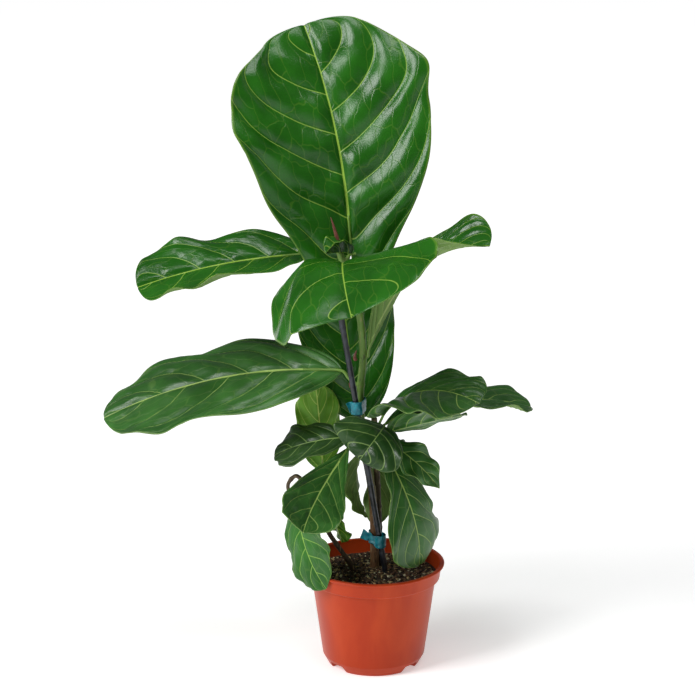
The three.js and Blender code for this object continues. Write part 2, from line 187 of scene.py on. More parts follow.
# soft studio lights: places and sizes are metres
lights = {
    "keySoftbox": {"place": (-1.9, -1.3, 2.0), "target": (0, 0, 0.35), "size": (1.1, 1.3), "watts": 62},
    "rightStrip": {"place": (1.9, 0.3, 1.3), "target": (0, 0, 0.45), "size": (0.4, 1.4), "watts": 1.5},
    "topLight": {"place": (0.0, -0.5, 2.5), "target": (0, 0, 0.4), "size": (1.4, 0.9), "watts": 26},
}
for name, given in lights.items():
    lamp = bpy.data.lights.new(name, "AREA")
    lamp.shape = "RECTANGLE"
    lamp.size, lamp.size_y = given["size"]
    lamp.energy = given["watts"]
    light = bpy.data.objects.new(name, lamp)
    light.location = given["place"]
    light.rotation_euler = (Vector(given["target"]) - light.location).to_track_quat("-Z", "Y").to_euler()
    bpy.context.scene.collection.objects.link(light)
world = bpy.data.worlds.new("studio")
world.use_nodes = True
world.node_tree.nodes["Background"].inputs[0].default_value = toLinear("#F4F6F8")
world.node_tree.nodes["Background"].inputs[1].default_value = 0.16
bpy.context.scene.world = world
bpy.context.scene.view_settings.view_transform = "Standard"

# half is the floor's half width, and the glow grows from near to far, all in metres from the plant
paper = {"half": 20, "near": 0.2, "far": 2.6, "nearGlow": 0.42, "farGlow": 0.84}
floorMesh = bmesh.new()
bmesh.ops.create_grid(floorMesh, x_segments=1, y_segments=1, size=paper["half"])
floorData = bpy.data.meshes.new("floor")
floorMesh.to_mesh(floorData)
floorMesh.free()
floor = bpy.data.objects.new("floor", floorData)
bpy.context.scene.collection.objects.link(floor)
# Seamless white studio paper: dull, and lit from below as a studio table is, so that it stays white
paperSweep, tree, shader = startMaterial("paperSweep")
shader.inputs["Base Color"].default_value = toLinear("#FBFBFB")
shader.inputs["Roughness"].default_value = 0.9
shader.inputs["Emission Color"].default_value = toLinear("#FFFFFF")
place = addNode(tree, "ShaderNodeTexCoord").outputs["Object"]
fromPlant = addNode(tree, "ShaderNodeVectorMath", {0: place}, operation="LENGTH").outputs["Value"]
strength = addNode(tree, "ShaderNodeMapRange", {
    "Value": fromPlant, "From Min": paper["near"], "From Max": paper["far"],
    "To Min": paper["nearGlow"], "To Max": paper["farGlow"],
}, interpolation_type="SMOOTHSTEP").outputs[0]
tree.links.new(strength, shader.inputs["Emission Strength"])
floorData.materials.append(paperSweep)
print("stage set")


# Live fig leaf, waxy and leathery: semi-gloss above, with pale veins pressed in and a fine net between them.
# blade, patch and vein are the colours of the blade, its lighter patches and its veins. gloss is the
# roughness, shine the strength of the highlight, and bloom the dull grey sheen of older leaves.
leafTones = {
    "deep": {
        "blade": "#154A07", "patch": "#1F5D0D", "vein": "#86A83E",
        "gloss": 0.2, "shine": 0.44, "bloom": 0.0,
    },
    "dusky": {
        "blade": "#1C3A14", "patch": "#294A1C", "vein": "#7C9852",
        "gloss": 0.3, "shine": 0.5, "bloom": 0.04,
    },
    "grown": {
        "blade": "#24501A", "patch": "#376A28", "vein": "#9CB960",
        "gloss": 0.29, "shine": 0.5, "bloom": 0.03,
    },
    "light": {
        "blade": "#1F5414", "patch": "#2F6A1E", "vein": "#86AC4C",
        "gloss": 0.4, "shine": 0.32, "bloom": 0.05,
    },
    "pale": {
        "blade": "#4A7E1B", "patch": "#68982C", "vein": "#B4C864",
        "gloss": 0.38, "shine": 0.3, "bloom": 0.0,
    },
    "new": {
        "blade": "#305E10", "patch": "#46781C", "vein": "#94B23E",
        "gloss": 0.34, "shine": 0.3, "bloom": 0.0,
    },
}
leafSkin = {
    "lateralHalf": 0.2, "lateralSoft": 0.8, "netCell": 15, "netHalf": 0.026, "fineCell": 3.2,
    "mottle": 45.45, "warp": 18.18, "bump": 0.35,
    "netPaint": 0.09, "lateralPaint": 0.72, "marginPaint": 0.3,
}
undersideTone = {"blade": "#5F7F3C", "patch": "#708F48", "vein": "#93A862", "gloss": 0.55}  # dull and paler


def leafMaterial(name, tone, under):
    material, tree, shader = startMaterial(name)
    place = addNode(tree, "ShaderNodeAttribute", attribute_name="flatPlace").outputs["Vector"]
    veins = addNode(tree, "ShaderNodeAttribute", attribute_name="veinPlace").outputs["Vector"]
    flat = addNode(tree, "ShaderNodeSeparateXYZ", {0: place}).outputs
    count = addNode(tree, "ShaderNodeSeparateXYZ", {0: veins}).outputs
    left = addNode(tree, "ShaderNodeMath", {0: flat[1], 1: 0.0}, operation="GREATER_THAN").outputs[0]
    lateral = addNode(tree, "ShaderNodeMix", {0: left, 2: count[1], 3: count[0]}, data_type="FLOAT").outputs[0]
    whole = addNode(tree, "ShaderNodeMath", {0: lateral}, operation="ROUND").outputs[0]
    nearest = addNode(tree, "ShaderNodeMath", {0: lateral, 1: whole}, operation="SUBTRACT").outputs[0]
    distance = addNode(tree, "ShaderNodeMath", {0: nearest}, operation="ABSOLUTE").outputs[0]
    fromLateral = addNode(tree, "ShaderNodeMath", {0: distance, 1: count[2]}, operation="MULTIPLY").outputs[0]
    midribHalf = addNode(tree, "ShaderNodeAttribute", attribute_name="midribHalf").outputs["Fac"]
    distance = addNode(tree, "ShaderNodeMath", {0: flat[1]}, operation="ABSOLUTE").outputs[0]
    fromMidrib = addNode(tree, "ShaderNodeMath", {
        0: distance, 1: midribHalf,
    }, operation="SUBTRACT").outputs[0]
    wide, soft = leafSkin["lateralHalf"] * mm, leafSkin["lateralSoft"] * mm
    lateralLine = addNode(tree, "ShaderNodeMapRange", {
        "Value": fromLateral, "From Min": wide, "From Max": wide + soft, "To Min": 1.0, "To Max": 0.0,
    }, interpolation_type="SMOOTHSTEP").outputs[0]
    midribLine = addNode(tree, "ShaderNodeMapRange", {
        "Value": fromMidrib, "From Min": -0.2 * mm, "From Max": 0.4 * mm, "To Min": 1.0, "To Max": 0.0,
    }, interpolation_type="SMOOTHSTEP").outputs[0]
    patternPlace = addNode(tree, "ShaderNodeVectorMath", {0: flat[2], 1: (1.0, 0.7, 0.0), 2: place},
                           operation="MULTIPLY_ADD").outputs[0]
    # the net lies along the side veins, and its longer meshes cross from one to the next
    beside = addNode(tree, "ShaderNodeMath", {0: lateral, 1: count[2]}, operation="MULTIPLY").outputs[0]
    ladder = addNode(tree, "ShaderNodeMath", {0: beside, 1: 0.55}, operation="MULTIPLY").outputs[0]
    ladder = addNode(tree, "ShaderNodeCombineXYZ", {0: ladder, 1: flat[1], 2: flat[2]}).outputs[0]
    warp = addNode(tree, "ShaderNodeTexNoise", {
        "Vector": patternPlace, "Scale": 1000 / leafSkin["warp"], "Detail": 1.0,
    })
    bent = addNode(tree, "ShaderNodeMix", {0: 0.01, 4: ladder, 5: warp.outputs["Color"]},
                   data_type="VECTOR").outputs[1]
    net = addNode(tree, "ShaderNodeTexVoronoi", {"Vector": bent, "Scale": 1000 / leafSkin["netCell"]},
                  feature="DISTANCE_TO_EDGE", voronoi_dimensions="2D").outputs["Distance"]
    netLine = addNode(tree, "ShaderNodeMapRange", {
        "Value": net, "From Min": leafSkin["netHalf"] * 0.3, "From Max": leafSkin["netHalf"] * 1.8,
        "To Min": 1.0, "To Max": 0.0,
    }, interpolation_type="SMOOTHSTEP").outputs[0]
    fine = addNode(tree, "ShaderNodeTexVoronoi", {
        "Vector": patternPlace, "Scale": 1000 / leafSkin["fineCell"],
    }, feature="DISTANCE_TO_EDGE", voronoi_dimensions="2D").outputs["Distance"]
    uv = addNode(tree, "ShaderNodeSeparateXYZ", {0: addNode(tree, "ShaderNodeUVMap").outputs[0]}).outputs
    across = addNode(tree, "ShaderNodeMath", {0: uv[1], 1: 2.0, 2: -1.0}, operation="MULTIPLY_ADD").outputs[0]
    fromMiddle = addNode(tree, "ShaderNodeMath", {0: across}, operation="ABSOLUTE").outputs[0]
    marginLine = addNode(tree, "ShaderNodeMapRange", {
        "Value": fromMiddle, "From Min": 0.965, "From Max": 0.995,
    }, interpolation_type="SMOOTHSTEP").outputs[0]
    mottle = addNode(tree, "ShaderNodeTexNoise", {
        "Vector": place, "Scale": 1000 / leafSkin["mottle"], "Detail": 3.0,
    }).outputs[0]
    shade = addNode(tree, "ShaderNodeMapRange", {
        "Value": mottle, "From Min": 0.3, "From Max": 0.72,
    }, interpolation_type="SMOOTHSTEP").outputs[0]
    paint = undersideTone if under else tone
    vein = toLinear(paint["vein"])
    colour = addNode(tree, "ShaderNodeMix", {
        0: shade, 6: toLinear(paint["blade"]), 7: toLinear(paint["patch"]),
    }, data_type="RGBA").outputs[2]
    for line, strength in ((netLine, leafSkin["netPaint"]), (lateralLine, leafSkin["lateralPaint"]),
                           (marginLine, leafSkin["marginPaint"]), (midribLine, 1.0)):
        share = addNode(tree, "ShaderNodeMath", {0: line, 1: strength}, operation="MULTIPLY").outputs[0]
        colour = addNode(tree, "ShaderNodeMix", {0: share, 6: colour, 7: vein}, data_type="RGBA").outputs[2]
    tree.links.new(colour, shader.inputs["Base Color"])
    dull = paint["gloss"]
    for rise, value in ((0.08, shade), (0.12, lateralLine)):
        dull = addNode(tree, "ShaderNodeMath", {
            0: value, 1: rise, 2: dull,
        }, operation="MULTIPLY_ADD").outputs[0]
    tree.links.new(dull, shader.inputs["Roughness"])
    shader.inputs["IOR"].default_value = 1.42
    shader.inputs["Specular IOR Level"].default_value = tone["shine"]
    shader.inputs["Sheen Weight"].default_value = tone["bloom"]
    shader.inputs["Sheen Roughness"].default_value = 0.45
    sink = 1.0 if under else -1.0  # veins stand out below and are pressed in above
    fineLine = addNode(tree, "ShaderNodeMapRange", {
        "Value": fine, "From Min": 0.0, "From Max": 0.12, "To Min": 1.0, "To Max": 0.0,
    }, interpolation_type="SMOOTHSTEP").outputs[0]
    height = 0.0
    for line, depth in ((lateralLine, 0.9), (midribLine, 1.2), (netLine, 0.35), (fineLine, 0.12)):
        height = addNode(tree, "ShaderNodeMath", {
            0: line, 1: depth * sink, 2: height,
        }, operation="MULTIPLY_ADD").outputs[0]
    relief = addNode(tree, "ShaderNodeBump", {
        "Height": height, "Strength": leafSkin["bump"], "Distance": 0.9 * mm,
    })
    tree.links.new(relief.outputs[0], shader.inputs["Normal"])
    return material


# Young green leaf stalk: smooth and juicy, a soft shine with fine paler streaks along it
stalkSkin = grainMaterial("leafStalkSkin", {
    "along": "UV", "stretch": (3, 9, 1), "scale": 3.0, "detail": 3.0, "low": 0.3, "high": 0.7,
    "dark": "#54772A", "pale": "#769A40", "dull": 0.42, "bump": (0.3, 0.4),
})

# azimuth, pitch and roll say how a leaf leaves its stem, and lean, droop, sway and twist how it bends,
# in degrees.
# fold and cup turn its halves up, and widest, full, lobe, lead, ear and skew draw its flat outline.
# quilt is how far the blade swells between its side veins, and veins how many there are on each side.
# edge lists where the margin swells or draws in: side (1 is left), place along, spread and millimetres.
# crease is a sharp fold: side, slope, offset and steepness. rumple is the small unevenness between veins, and
# drop lengthens the lobes at the base.
leafDefaults = {
    "petiole": 12, "petiolePitch": None, "petioleAzimuth": None, "lean": 0, "droop": 30, "late": 1,
    "sway": 0, "twist": 0, "roll": 0, "fold": 8, "cup": (10, 10), "wave": 3, "waves": 3, "phase": 0,
    "widest": 1.4, "full": 0.6, "lobe": 0.08, "lead": 0.15, "ear": 0.05, "skew": 0,
    "tone": "dusky", "under": None, "quilt": 1.5, "veins": 5, "groove": 1.2, "rumple": 0.8, "ripple": 1.4,
    "thickness": 0.8, "edge": (), "crease": None, "drop": 0,
}
leaves = {
    "crown_leaf": {
        "azimuth": 86, "petioleAzimuth": 58, "petiolePitch": 30, "petiole": 15, "pitch": 88, "lean": 2,
        "length": 248, "width": 214, "droop": 27, "late": 0.85, "sway": 16, "twist": 5, "roll": 9, "fold": 9,
        "cup": (12, 5), "wave": 4, "widest": 1.16, "full": 0.44, "lobe": 0, "lead": 0.08, "ear": 0.12,
        "tone": "deep", "drop": 32, "quilt": 6, "veins": 5.7, "groove": 2, "rumple": 0.25,
        "edge": ((1, 0.08, 0.14, -13), (1, 0.5, 0.2, 5), (1, 0.9, 0.09, -9), (-1, 0.84, 0.12, -9),
                 (-1, 0.62, 0.06, 4), (-1, 0.5, 0.05, -3), (-1, 0.12, 0.17, -21), (1, 0.36, 0.05, -3)),
    },
    "upper_left_leaf": {
        "azimuth": 162, "pitch": 5, "petiole": 38, "lean": 15, "length": 186, "width": 110, "droop": 4,
        "sway": 20, "twist": -9, "roll": -33, "cup": (50, -30), "wave": 7, "widest": 1.47, "full": 0.46,
        "lead": 0.1, "ear": 0.1, "skew": 0.14, "tone": "deep", "quilt": 2.6, "veins": 5.0, "groove": 1.6,
    },
    "front_leaf": {
        "azimuth": -98, "pitch": 35, "petiole": 22, "lean": 4, "length": 173, "width": 188, "droop": 70,
        "late": 0.8, "sway": 9, "twist": 22, "roll": -2, "fold": 10, "cup": (12, -44), "wave": 4,
        "widest": 1.15, "full": 0.4, "lobe": 0, "lead": 0.25, "skew": 0.06,
        "tone": "deep", "quilt": 2.6, "veins": 3.4, "groove": 1.4, "rumple": 0.3,
        "crease": (-1, 0.2, 28, 0.95), "edge": ((-1, 0.6, 0.08, 5), (-1, 0.38, 0.2, 9), (1, 0.5, 0.06, 5)),
    },
    "arching_leaf": {
        "azimuth": -10, "pitch": 72, "petiole": 8, "length": 200, "width": 86, "droop": 72, "late": 1.4,
        "twist": 37, "roll": -40, "fold": 10, "cup": (44, 36), "widest": 1.7, "full": 0.52, "lobe": 0,
        "lead": 0.18, "tone": "deep", "quilt": 2.4, "veins": 8,
    },
    "back_leaf": {
        "azimuth": 94, "pitch": 78, "petiole": 29, "petiolePitch": -15, "lean": 8, "length": 160, "width": 106,
        "droop": 8, "sway": -4, "fold": 0, "cup": (-8, 8), "widest": 1.1, "full": 0.42, "lobe": 0,
        "tone": "deep", "quilt": 2.6,
    },
    "long_left_leaf": {
        "azimuth": 172, "pitch": 4, "petiole": 22, "petiolePitch": 40, "length": 270, "width": 146,
        "droop": 23, "late": 0.8, "sway": 22, "twist": 13, "roll": -40, "fold": 0, "cup": (25, -30),
        "wave": 6, "widest": 1.05, "full": 0.64, "lobe": 0, "skew": 0.1,
        "tone": "grown", "quilt": 4.4, "veins": 5.5, "groove": 1.8, "rumple": 0.8,
        "edge": ((-1, 0.55, 0.05, 5), (-1, 0.4, 0.05, -3), (1, 0.75, 0.05, 4), (-1, 0.93, 0.03, -4)),
    },
    "right_leaf": {
        "azimuth": -24, "pitch": 58, "petiole": 14, "lean": -10, "length": 138, "width": 96, "droop": 70,
        "late": 0.8, "sway": -20, "twist": 12, "cup": (-22, 10), "wave": 5, "widest": 1, "full": 0.36,
        "lead": 0.18, "skew": -0.28, "tone": "grown", "under": "grownLeafTop", "quilt": 3, "veins": 6,
    },
    "far_right_leaf": {
        "azimuth": 26, "pitch": 34, "petiole": 8, "lean": -11, "length": 172, "width": 74, "droop": 50,
        "late": 0.8, "sway": -11, "roll": 5, "cup": (-15, 13), "wave": 4, "widest": 1.65, "lead": 0.2,
        "tone": "grown", "quilt": 2.4, "veins": 7,
    },
    "lower_right_leaf": {
        "azimuth": -28, "petioleAzimuth": 10, "pitch": 22, "petiole": 12, "length": 94, "width": 66,
        "droop": 5, "roll": -35, "twist": 13, "fold": 4, "cup": (20, 0), "widest": 1.1, "lead": 0.18,
        "tone": "grown", "under": "grownLeafTop",
    },
    "round_leaf": {
        "azimuth": -105, "petioleAzimuth": -50, "pitch": 6, "petiole": 14, "lean": 7, "length": 60,
        "width": 82, "droop": 104, "late": 1.4, "sway": -13, "roll": -27, "fold": 0, "cup": (8, 2),
        "widest": 1.2, "full": 0.66, "lobe": 0, "skew": -0.08, "veins": 4.4,
    },
    "lower_left_leaf": {
        "azimuth": 191, "petioleAzimuth": 213, "pitch": 3, "petiole": 24, "petiolePitch": 10, "length": 94,
        "width": 64, "droop": 52, "sway": -10, "twist": 9, "roll": -38, "fold": 0, "cup": (24, -14),
        "full": 0.72, "lead": 0.12, "edge": ((1, 0.86, 0.08, -7), (-1, 0.86, 0.08, -7)),
    },
    "front_hanging_leaf": {
        "azimuth": 231, "petioleAzimuth": 217, "pitch": -34, "petiole": 32, "petiolePitch": 10, "length": 139,
        "width": 72, "droop": -28, "sway": 20, "twist": -15, "roll": -20, "fold": 2, "cup": (44, 36),
        "full": 0.74, "lobe": 0, "lead": 0.2, "skew": 0.08, "tone": "grown", "veins": 5, "rumple": 1.3,
        "ripple": 2.2, "edge": ((-1, 0.5, 0.12, 2), (-1, 0.86, 0.08, 5), (1, 0.86, 0.08, 4)),
    },
    "wavy_leaf": {
        "azimuth": -32, "pitch": -15, "petiole": 8, "length": 82, "width": 38, "droop": 46, "sway": -5,
        "twist": 12, "roll": 26, "fold": 3, "cup": (12, 12), "wave": 7, "widest": 1, "full": 1, "lobe": 0,
        "lead": 0.04, "tone": "grown", "quilt": 1.6,
    },
    "right_hanging_leaf": {
        "azimuth": -55, "pitch": -48, "petiole": 12, "lean": 6, "length": 140, "width": 86, "droop": 58,
        "late": 1.4, "sway": 6, "twist": -9, "roll": 5, "fold": 1, "cup": (-36, 0), "widest": 1.54,
        "full": 0.75, "lobe": 0, "lead": 0.12, "tone": "grown", "veins": 6, "quilt": 0.9, "rumple": 0.5,
        "edge": ((1, 0.66, 0.05, 9), (1, 0.5, 0.045, -6), (-1, 0.3, 0.05, -4), (1, 0.3, 0.05, 3),
                 (1, 0.88, 0.05, 4)),
    },
    "small_back_leaf": {
        "azimuth": 38, "pitch": 5, "petiole": 8, "length": 48, "width": 36, "droop": 40,
        "quilt": 1.2, "veins": 4.5, "groove": 1,
    },
    "inner_left_leaf": {
        "azimuth": 150, "pitch": -70, "petiole": 18, "petiolePitch": 10, "length": 74, "width": 42,
        "droop": 56, "sway": 11, "twist": -22, "cup": (0, 15), "widest": 1, "lobe": 0.2, "lead": 0.1,
        "tone": "new", "quilt": 1.4, "veins": 4.5, "groove": 1, "edge": ((-1, 0.5, 0.3, 5), (1, 0.5, 0.3, 5)),
    },
    "inner_right_leaf": {
        "azimuth": 68, "pitch": -62, "petiole": 6, "length": 84, "width": 24, "droop": 37, "lean": 8,
        "lobe": 0.12, "tone": "new", "quilt": 1, "groove": 1, "edge": ((-1, 0.5, 0.3, 6), (1, 0.5, 0.3, 6)),
    },
    "left_back_leaf": {
        "azimuth": -80, "petioleAzimuth": 66, "petiolePitch": 12, "petiole": 39.5, "pitch": 88, "lean": -3,
        "length": 100, "width": 50, "droop": 2, "sway": -4, "wave": 5, "widest": 0.95, "tone": "pale",
        "under": "paleLeafTop", "quilt": 1.6,
    },
    "outer_hanging_leaf": {
        "azimuth": -157, "pitch": -79, "petiole": 14, "petiolePitch": -30, "lean": 16, "length": 101,
        "width": 72, "droop": 11, "sway": 37, "twist": -9, "roll": -18, "fold": 1, "cup": (21, -25),
        "widest": 1.07, "full": 0.68, "lobe": 0, "lead": 0.06, "skew": 0.1,
        "tone": "light", "veins": 5, "quilt": 1.4, "ripple": 2.6,
    },
    "small_left_leaf": {
        "azimuth": 40, "pitch": -46, "petiole": 8, "length": 44, "width": 28, "droop": 30,
        "tone": "new", "under": "newLeafTop", "quilt": 1, "veins": 4, "groove": 0.8,
    },
    "young_leaf": {
        "azimuth": -150, "pitch": 14, "petiole": 4, "length": 32, "width": 40, "droop": 16, "fold": 40,
        "cup": (14, 14), "wave": 1, "widest": 1, "lobe": 0, "tone": "deep", "under": "deepLeafTop",
        "quilt": 0.5, "veins": 3, "groove": 0.5, "rumple": 0.2, "ripple": 0.5,
    },
}
leafGrid = {"steps": 48, "overhang": 0.3, "cadRows": 11, "cadColumns": 3, "cell": 2.1, "seedStep": 0.73}
# shares of the blade's length, then the widths of its small forms in millimetres
bladeForm = {
    "lobeEnd": 0.4, "dropPlace": 0.08, "marginRipple": 0.018,
    "swellWide": 24, "rumpleWide": 9, "grooveHalf": 3.2, "creaseReach": 26, "creaseSoft": 1.2,
}


# where the midrib runs: place, forward, left and up at each step, starting from the blade's base
def midribFrames(leaf):
    azimuth, pitch = math.radians(leaf["azimuth"]), math.radians(leaf["pitch"])
    flat = math.cos(pitch)
    forward = Vector((flat * math.cos(azimuth), flat * math.sin(azimuth), math.sin(pitch)))
    left = Vector((-math.sin(azimuth), math.cos(azimuth), 0))
    left.rotate(Matrix.Rotation(math.radians(leaf["roll"]), 3, forward))
    up = forward.cross(left)
    lean = Matrix.Rotation(math.radians(leaf["lean"]), 3, up)
    forward.rotate(lean)
    left.rotate(lean)
    point = Vector((0, 0, 0))
    frames = []
    step = (1 + leafGrid["overhang"]) / leafGrid["steps"]
    for i in range(leafGrid["steps"] + 1):
        frames.append((point.copy(), forward.copy(), left.copy(), up.copy()))
        s = min(1, (i + 0.5) * step)
        share = step if i * step < 1 else 0
        bend = leaf["droop"] * share * leaf["late"] * s ** (leaf["late"] - 1)
        droop = Matrix.Rotation(math.radians(bend), 3, left)
        forward.rotate(droop)
        up.rotate(droop)
        sway = Matrix.Rotation(math.radians(leaf["sway"]) * share, 3, up)
        forward.rotate(sway)
        left.rotate(sway)
        left.rotate(Matrix.Rotation(math.radians(leaf["twist"]) * share, 3, forward))
        up = forward.cross(left).normalized()
        point = point + forward * (step * leaf["length"])
    return frames


# the midrib between two steps, which keeps the blade smooth
def midribAt(frames, place):
    k = min(len(frames) - 2, max(0, int(place)))
    share = min(1.0, max(0.0, place - k))
    return [a.lerp(b, share) for a, b in zip(frames[k], frames[k + 1])]


# a point of the blade's middle surface, in millimetres, with its place on the flat blade
def bladePoint(leaf, frames, t, v, detail=False):
    side = -1 if v < 0 else 1
    share = abs(v)
    bulge = max(0.0, math.sin(math.pi * min(1, t) ** leaf["widest"]))
    lobe = math.sin(math.pi * min(1, t / bladeForm["lobeEnd"]))
    half = leaf["width"] / 2 * (1 + side * leaf["skew"])
    edgeOut = half * (bulge ** leaf["full"] + leaf["lobe"] * lobe)
    edgeAlong = leaf["length"] * (t + leaf["lead"] * math.sin(math.pi * t) - leaf["ear"] * lobe)
    if detail:
        for bumpSide, place, spread, amount in leaf["edge"]:
            if bumpSide == side:
                edgeOut += amount * math.exp(-((t - place) / spread) ** 2) * min(1, 12 * t, 12 * (1 - t))
        uneven = noise.noise(Vector((t * 9, side * 3.1, leaf["seed"])))
        edgeOut *= 1 + bladeForm["marginRipple"] * leaf["ripple"] * uneven
    along = leaf["length"] * t + (edgeAlong - leaf["length"] * t) * share ** 1.7
    if detail:
        along -= leaf["drop"] * math.exp(-(t / bladeForm["dropPlace"] - 1) ** 2) * share ** 0.5
    out = edgeOut * share
    whole = leaf["length"] * (1 + leafGrid["overhang"])
    place = max(0.0, along) / whole * leafGrid["steps"]
    point, forward, left, up = midribAt(frames, place)
    beyond = along - min(place, leafGrid["steps"]) / leafGrid["steps"] * whole
    fold = math.radians(leaf["fold"])
    turn = math.radians(leaf["cup"][0 if side > 0 else 1] or 0.5) / (leaf["width"] / 2)
    angle = fold + turn * out
    across = (math.sin(angle) - math.sin(fold)) / turn
    rise = (math.cos(fold) - math.cos(angle)) / turn
    rise += leaf["wave"] * share ** 2.5 * math.sin(math.pi * t) * math.sin(
        2 * math.pi * (leaf["waves"] * t + leaf["phase"] + (0 if side > 0 else 0.35)))
    swell = 0.0
    if detail:
        vein = veinCount(leaf, t, v, side)
        dome = abs(math.sin(math.pi * vein)) ** 0.9 - 0.5
        edge = min(1, share / 0.14) * (1 - share ** 7) * min(1, 7 * (1 - t)) * min(1, 9 * t)
        swell = leaf["quilt"] * dome * edge
        spotPlace = Vector((along, side * out, leaf["seed"] * 50))
        swell += 0.25 * leaf["quilt"] * edge * noise.noise(spotPlace / bladeForm["swellWide"])
        swell += leaf["rumple"] * edge * noise.noise(spotPlace / bladeForm["rumpleWide"])
        if leaf["crease"] and leaf["crease"][0] == side:
            past = max(0.0, out - leaf["crease"][1] * along - leaf["crease"][2])
            soft, reach = bladeForm["creaseSoft"], bladeForm["creaseReach"]
            swell -= leaf["crease"][3] * reach * (1 - math.exp((soft - math.hypot(past, soft)) / reach))
        swell -= leaf["groove"] * math.exp(-(out / bladeForm["grooveHalf"]) ** 2)
        uneven = noise.noise(Vector((t * 15, side * 5.3, leaf["seed"] + 4)))
        swell += 0.8 * leaf["ripple"] * share ** 5 * uneven
    normal = up * math.cos(angle) - left * (side * math.sin(angle))
    spot = point + forward * beyond + left * (side * across) + up * rise + normal * swell
    return spot, along, side * out


# which side vein a place lies on: whole numbers are the veins themselves
def veinCount(leaf, t, v, side):
    share = abs(v)
    base = t - 0.2 * share - 0.14 * share ** 4
    return base * leaf["veins"] + (0.15 if side > 0 else 0.58) + leaf["seed"] * 0.37


# the petiole's path in millimetres from near the stem into the blade
def petiolePath(leaf, frames, reach):
    azimuth = leaf["petioleAzimuth"] if leaf["petioleAzimuth"] is not None else leaf["azimuth"]
    pitch = leaf["petiolePitch"] if leaf["petiolePitch"] is not None else max(leaf["pitch"], 20)
    way = Vector((math.cos(math.radians(azimuth)), math.sin(math.radians(azimuth)), 0))
    long, tilt = leaf["petiole"], math.radians(pitch)
    foot = way * (2 - long * math.cos(tilt)) - Vector((0, 0, long * math.sin(tilt)))
    path = [foot - way * reach, foot, foot * 0.5 - Vector((0, 0, 0.06 * long)), -0.6 * frames[0][3]]
    for share in (0.06, 0.12):
        point, _, _, up = midribAt(frames, share * leafGrid["steps"])
        path.append(point - 0.9 * up)
    return path


def makeLeaf(name, given, seed):
    leaf = {**leafDefaults, **given, "seed": seed}
    frames = midribFrames(leaf)
    # the box of the plain blade and its stalk is the CAD solid's, so their centres give the leaf's place
    coarse = [bladePoint(leaf, frames, i / leafGrid["cadRows"], j / leafGrid["cadColumns"])[0]
              for i in range(leafGrid["cadRows"] + 1)
              for j in range(-leafGrid["cadColumns"], leafGrid["cadColumns"] + 1)]
    coarse += petiolePath(leaf, frames, 0)[:2]
    low = Vector([min(p[i] for p in coarse) for i in range(3)])
    high = Vector([max(p[i] for p in coarse) for i in range(3)])
    shift = boxCentre(*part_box(name)) - (low + high) / 2 * mm
    rows = max(26, int(leaf["length"] * 1.25 / leafGrid["cell"]))
    columns = 2 * max(10, int(leaf["width"] / 2 / leafGrid["cell"]))
    mesh = bmesh.new()
    mesh.loops.layers.uv.new("UVMap")
    bmesh.ops.create_grid(mesh, x_segments=rows, y_segments=columns, size=1, calc_uvs=True)
    flatPlace = mesh.verts.layers.float_vector.new("flatPlace")
    veinPlace = mesh.verts.layers.float_vector.new("veinPlace")
    midribHalf = mesh.verts.layers.float.new("midribHalf")
    for vert in mesh.verts:
        t = (1 - math.cos(math.pi * (vert.co.x + 1) / 2)) / 2
        v = vert.co.y
        tip = t < 1e-6 or t > 1 - 1e-6
        spot, along, out = bladePoint(leaf, frames, t, 0 if tip else v, True)
        vert[flatPlace] = (along * mm, out * mm, leaf["seed"] * 0.31)
        spacing = leaf["length"] / leaf["veins"] * mm
        vert[veinPlace] = (veinCount(leaf, t, v, 1), veinCount(leaf, t, v, -1), spacing)
        vert[midribHalf] = (0.35 + leaf["length"] / 230) * (1 - 0.75 * t) * mm
        vert.co = spot * mm + shift
    bmesh.ops.remove_doubles(mesh, verts=mesh.verts, dist=1e-6)
    skins = [leafSkins[leaf["tone"] + "LeafTop"], leafSkins[leaf["under"] or leaf["tone"] + "LeafUnderside"]]
    blade = finishPiece(name + ".blade", mesh, skins, [name])
    wall = blade.modifiers.new("thickness", "SOLIDIFY")
    wall.thickness = leaf["thickness"] * mm
    wall.offset = 0
    wall.material_offset = 1
    path = [p * mm + shift for p in smoothPath(petiolePath(leaf, frames, 2.4), 26)]
    thick = 1.05 + leaf["length"] / 320

    # thinner towards the blade, with a swollen foot
    def stalkRadius(share, angle):
        return thick * (1 - 0.55 * share ** 3) * (1 + 0.25 * math.exp(-(share * 9) ** 2)) * mm

    finishPiece(name + ".stalk", sweep(path, stalkRadius, 14), [stalkSkin])


leafSkins = {}
for toneName, tone in leafTones.items():
    for side, under in (("LeafTop", False), ("LeafUnderside", True)):
        leafSkins[toneName + side] = leafMaterial(toneName + side, tone, under)
for index, (name, given) in enumerate(leaves.items()):
    makeLeaf(name, given, index * leafGrid["seedStep"])
print("leaves made")


